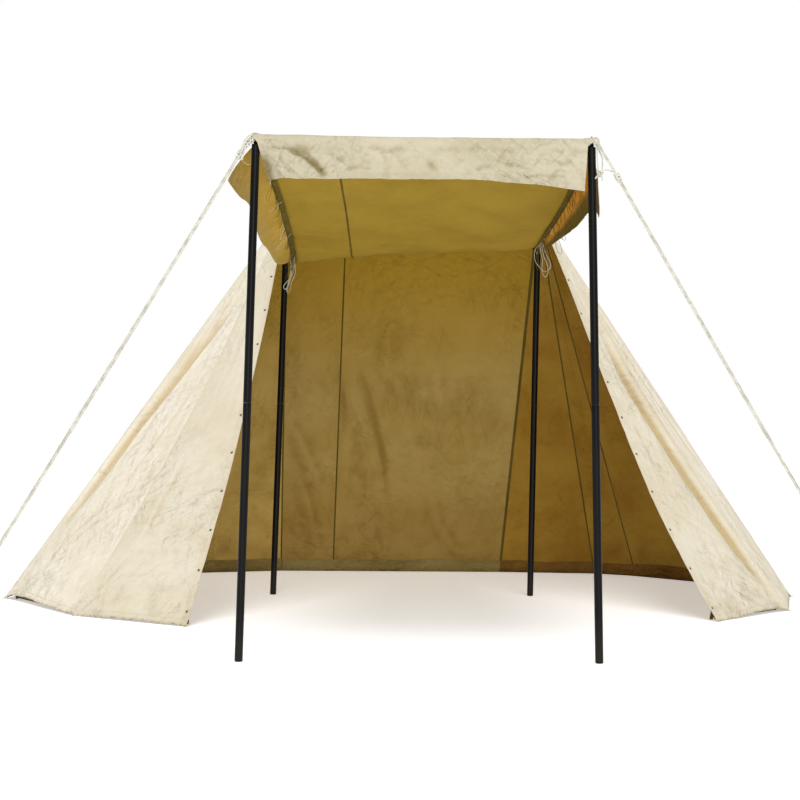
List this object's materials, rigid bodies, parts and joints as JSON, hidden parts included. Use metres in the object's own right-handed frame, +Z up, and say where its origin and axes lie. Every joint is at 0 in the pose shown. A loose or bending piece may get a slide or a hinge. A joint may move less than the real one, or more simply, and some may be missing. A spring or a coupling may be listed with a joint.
{
  "type": "merchant tent",
  "caption": "Canvas merchant tent with rounded ends, open door flaps and its front wall raised as a canopy on two poles with guy ropes",
  "frame": {"origin": "on the ground, under the middle of the whole tent with its guy pegs", "axes": "+X to the right seen from the front, -Y to the front under the raised canopy, +Z up"},
  "size_m": [6.0399, 6.3874, 3.0741],
  "materials": {
    "canvas": "matte cream cotton canvas",
    "canopy_canvas": "matte canvas seen from its shaded side, warm ochre",
    "doubled_canvas": "matte doubled canvas, dark olive in the shade",
    "sod_canvas": "matte coated canvas, grey-green",
    "black_painted_steel": "satin black paint",
    "white_rope": "matte off-white twisted rope",
    "peg_steel": "plain worn steel"
  },
  "bodies": {
    "root": {"door_flap_left_front": "canvas", "door_flap_left_side": "canvas", "gore_left_side": "canvas", "gore_left_rear": "canvas", "gore_left_back": "canvas", "door_flap_right_front": "canvas", "door_flap_right_side": "canvas", "gore_right_side": "canvas", "gore_right_rear": "canvas", "gore_right_narrow": "canvas", "gore_right_back": "canvas", "back_wall_narrow": "canvas", "back_wall_wide": "canvas", "canopy_narrow": "canopy_canvas", "canopy_wide": "canopy_canvas", "front_valance": "canvas", "lacing_strip_left": "doubled_canvas", "lacing_strip_right": "doubled_canvas", "overlap_flap_left": "canopy_canvas", "overlap_flap_right": "canopy_canvas", "sod_cloth_left": "sod_canvas", "sod_cloth_right": "sod_canvas", "sod_cloth_back": "sod_canvas", "inner_pole_left_lower": "black_painted_steel", "inner_pole_left_upper": "black_painted_steel", "inner_pole_right_lower": "black_painted_steel", "inner_pole_right_upper": "black_painted_steel", "front_pole_left_lower": "black_painted_steel", "front_pole_left_upper": "black_painted_steel", "front_pole_right_lower": "black_painted_steel", "front_pole_right_upper": "black_painted_steel", "ridge_bar": "black_painted_steel", "front_bar": "black_painted_steel", "guy_eye_left": "white_rope", "guy_knot_left": "white_rope", "guy_rope_left": "white_rope", "guy_peg_left": "peg_steel", "guy_eye_right": "white_rope", "guy_knot_right": "white_rope", "guy_rope_right": "white_rope", "guy_peg_right": "peg_steel", "lacing_cord_right_wide": "white_rope", "lacing_cord_right_narrow": "white_rope", "lacing_cord_left_wide": "white_rope", "lacing_cord_left_narrow": "white_rope"}
  },
  "joints": []
}
